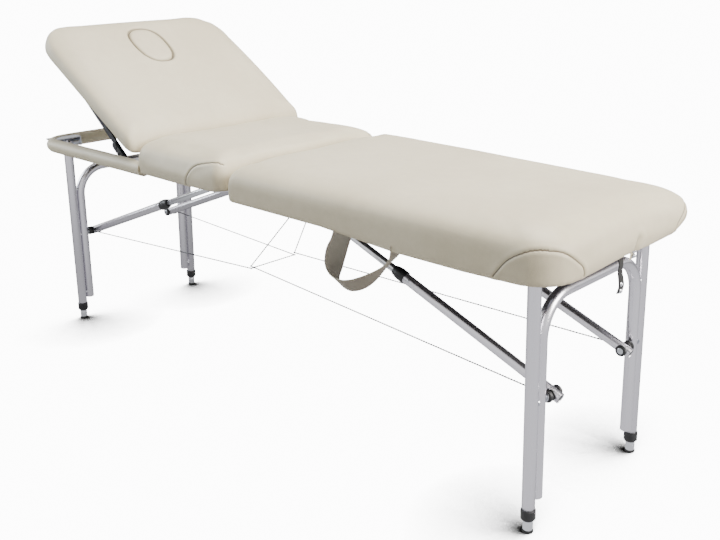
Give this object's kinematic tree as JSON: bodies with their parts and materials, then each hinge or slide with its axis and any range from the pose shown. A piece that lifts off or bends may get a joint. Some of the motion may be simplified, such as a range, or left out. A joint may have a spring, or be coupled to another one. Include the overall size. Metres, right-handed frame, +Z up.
{
  "type": "portable massage table",
  "caption": "Folding padded massage table with telescopic legs, sliding braces, a lifting backrest with a removable face plug, and a carry handle.",
  "frame": {"origin": "on the floor, midway along the whole table and on its centre line; the fold is at x = -0.0175 m", "axes": "+X along the table towards the foot end, +Y across the table away from the carry handle, +Z up"},
  "size_m": [1.921, 0.66, 0.9784],
  "materials": {
    "upholstery": "warm off-white coated fabric with a fine leather grain, satin",
    "handle_band": "beige-grey doubled band, matte",
    "webbing": "black woven webbing",
    "plywood": "plywood with a dark painted underside",
    "wire": "twisted steel wire rope",
    "painted_steel": "black semi-gloss paint",
    "black_plastic": "black moulded plastic",
    "rubber": "black rubber",
    "polished_rod": "bright drawn rod",
    "steel": "zinc-plated steel",
    "aluminium_tube": "satin anodised aluminium tube"
  },
  "bodies": {
    "foot_half": {"foot_cushion": "upholstery", "foot_board": "plywood", "foot_frame": "aluminium_tube", "foot_fold_bracket_near": "steel", "foot_fold_bracket_far": "steel", "foot_leg_bracket_near": "steel", "foot_leg_bracket_far": "steel", "closing_strap": "webbing", "cable_foot": "wire"},
    "handle": {"carry_handle": "handle_band"},
    "fold_links": {"fold_link_near": "steel", "fold_link_far": "steel"},
    "head_half": {"seat_cushion": "upholstery", "seat_board": "plywood", "head_frame": "aluminium_tube", "rail_padding": "upholstery", "head_fold_bracket_near": "steel", "head_fold_bracket_far": "steel", "head_leg_bracket_near": "steel", "head_leg_bracket_far": "steel", "cable_head": "wire"},
    "backrest": {"backrest_cushion": "upholstery", "backrest_board": "plywood", "backrest_side_rail_near": "steel", "backrest_side_rail_far": "steel"},
    "plug": {"face_plug": "upholstery"},
    "strut_sleeves": {"strut_sleeve_near": "painted_steel", "strut_sleeve_far": "painted_steel"},
    "strut_bars": {"strut_bar_near": "painted_steel", "strut_bar_far": "painted_steel"},
    "foot_legs": {"foot_u_frame": "aluminium_tube", "foot_post_near": "aluminium_tube", "foot_post_far": "aluminium_tube", "foot_collar_near": "black_plastic", "foot_collar_far": "black_plastic", "foot_brace_bolt_near": "steel", "foot_brace_bolt_far": "steel"},
    "foot_braces": {"foot_brace_tube_near": "aluminium_tube", "foot_brace_tube_far": "aluminium_tube"},
    "foot_rods": {"foot_brace_rod_near": "polished_rod", "foot_brace_rod_far": "polished_rod"},
    "foot_leg_extension_near": {"foot_leg_tube_near": "aluminium_tube", "foot_leg_tip_near": "rubber"},
    "foot_leg_extension_far": {"foot_leg_tube_far": "aluminium_tube", "foot_leg_tip_far": "rubber"},
    "head_legs": {"head_u_frame": "aluminium_tube", "head_post_near": "aluminium_tube", "head_post_far": "aluminium_tube", "head_collar_near": "black_plastic", "head_collar_far": "black_plastic", "head_brace_bolt_near": "steel", "head_brace_bolt_far": "steel"},
    "head_braces": {"head_brace_tube_near": "aluminium_tube", "head_brace_tube_far": "aluminium_tube"},
    "head_rods": {"head_brace_rod_near": "polished_rod", "head_brace_rod_far": "polished_rod"},
    "head_leg_extension_near": {"head_leg_tube_near": "aluminium_tube", "head_leg_tip_near": "rubber"},
    "head_leg_extension_far": {"head_leg_tube_far": "aluminium_tube", "head_leg_tip_far": "rubber"}
  },
  "joints": [
    {"name": "foot_fold", "type": "hinge", "parent": "foot_half", "child": "fold_links", "pos_m": [-0.0045, 0, 0.574], "axis": [0, -1, 0], "range_deg": [0, 90]},
    {"name": "head_fold", "type": "hinge", "parent": "fold_links", "child": "head_half", "pos_m": [-0.0305, 0, 0.574], "axis": [0, -1, 0], "range_deg": [0, 90]},
    {"name": "foot_leg_fold", "type": "hinge", "parent": "foot_half", "child": "foot_legs", "pos_m": [0.8665, 0, 0.612], "axis": [0, 1, 0], "range_deg": [0, 92], "deforming": ["cable_foot"]},
    {"name": "head_leg_fold", "type": "hinge", "parent": "head_half", "child": "head_legs", "pos_m": [-0.9015, 0, 0.612], "axis": [0, -1, 0], "range_deg": [0, 92], "deforming": ["cable_head"]},
    {"name": "foot_brace_swing", "type": "hinge", "parent": "foot_legs", "child": "foot_braces", "pos_m": [0.88215, 0, 0.30159], "axis": [0, -1, 0], "range_deg": [0, 112.85], "stiffness_Nm_per_rad": 2},
    {"name": "head_brace_swing", "type": "hinge", "parent": "head_legs", "child": "head_braces", "pos_m": [-0.91715, 0, 0.30159], "axis": [0, 1, 0], "range_deg": [0, 112.85], "stiffness_Nm_per_rad": 2},
    {"name": "foot_brace_slide", "type": "slide", "parent": "foot_braces", "child": "foot_rods", "axis": [0.9334, 0, -0.3588], "range_m": [0, 0.3835], "stiffness_N_per_m": 300},
    {"name": "head_brace_slide", "type": "slide", "parent": "head_braces", "child": "head_rods", "axis": [-0.9334, 0, -0.3588], "range_m": [0, 0.3835], "stiffness_N_per_m": 300},
    {"name": "backrest_raise", "type": "hinge", "parent": "head_half", "child": "backrest", "pos_m": [-0.4115, 0, 0.632], "axis": [0, 1, 0], "range_deg": [-31, 34], "stiffness_Nm_per_rad": 12, "springref_deg": 40.11},
    {"name": "strut_sleeve_swing", "type": "hinge", "parent": "head_half", "child": "strut_sleeves", "pos_m": [-0.5225, 0, 0.612], "axis": [0, 1, 0], "range_deg": [-37, 40.6]},
    {"name": "strut_bar_swing", "type": "hinge", "parent": "backrest", "child": "strut_bars", "pos_m": [-0.8176, 0, 0.85898], "axis": [0, 1, 0], "range_deg": [-5.9, 6.5]},
    {"name": "face_plug_lift", "type": "slide", "parent": "backrest", "child": "plug", "axis": [0.515, 0, 0.8572], "range_m": [0, 0.12]},
    {"name": "foot_leg_extend_near", "type": "slide", "parent": "foot_legs", "child": "foot_leg_extension_near", "axis": [0.0343, 0, -0.9994], "range_m": [0, 0.2]},
    {"name": "foot_leg_extend_far", "type": "slide", "parent": "foot_legs", "child": "foot_leg_extension_far", "axis": [0.0343, 0, -0.9994], "range_m": [0, 0.2]},
    {"name": "head_leg_extend_near", "type": "slide", "parent": "head_legs", "child": "head_leg_extension_near", "axis": [-0.0343, 0, -0.9994], "range_m": [0, 0.2]},
    {"name": "head_leg_extend_far", "type": "slide", "parent": "head_legs", "child": "head_leg_extension_far", "axis": [-0.0343, 0, -0.9994], "range_m": [0, 0.2]},
    {"name": "carry_handle_swing", "type": "hinge", "parent": "foot_half", "child": "handle", "pos_m": [0.4625, -0.302, 0.5855], "axis": [-1, 0, 0], "range_deg": [0, 78]}
  ],
  "couplings": [
    {"joint": "foot_leg_fold", "follows": "foot_fold", "ratio": 1.0222},
    {"joint": "head_leg_fold", "follows": "head_fold", "ratio": 1.0222},
    {"joint": "foot_brace_swing", "follows": "foot_fold", "ratio": 1.2534},
    {"joint": "head_brace_swing", "follows": "head_fold", "ratio": 1.2534},
    {"joint": "foot_brace_slide", "follows": "foot_fold", "m_per_rad": 0.24412},
    {"joint": "head_brace_slide", "follows": "head_fold", "m_per_rad": 0.24412},
    {"joint": "strut_sleeve_swing", "follows": "backrest_raise", "ratio": 1.19},
    {"joint": "strut_bar_swing", "follows": "backrest_raise", "ratio": 0.19},
    {"joint": "carry_handle_swing", "follows": "foot_fold", "ratio": 0.8666}
  ]
}
